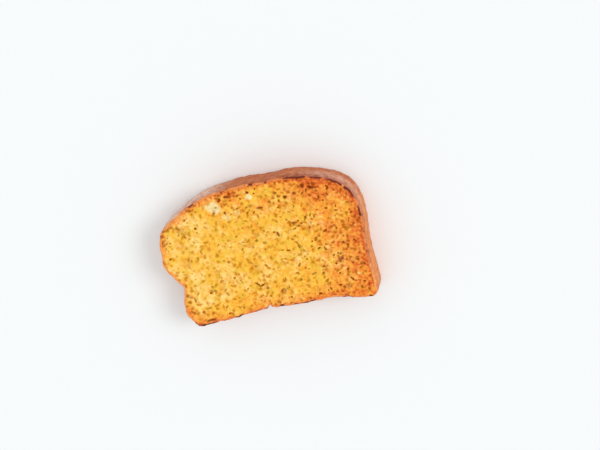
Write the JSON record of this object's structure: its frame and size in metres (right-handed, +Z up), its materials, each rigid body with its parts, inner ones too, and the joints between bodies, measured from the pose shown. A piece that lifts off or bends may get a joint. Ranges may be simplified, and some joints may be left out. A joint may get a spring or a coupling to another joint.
{
  "type": "garlic bread slice",
  "caption": "Thick toasted slice of a tin loaf with garlic butter and dried parsley on its upper cut face, lying flat.",
  "frame": {"origin": "under the middle of the slice's box, on the surface that it lies on", "axes": "+X along the loaf's base, towards the straight side; +Y from the base to the crown; +Z up through the thickness, towards the buttered face"},
  "size_m": [0.141, 0.0944, 0.0244],
  "materials": {
    "toasted_crumb": "matte, buttered",
    "crust": "matte",
    "dried_parsley": "matte",
    "chopped_garlic": "satin"
  },
  "bodies": {
    "root": {"garlic_bread_slice": "toasted_crumb"}
  },
  "joints": []
}
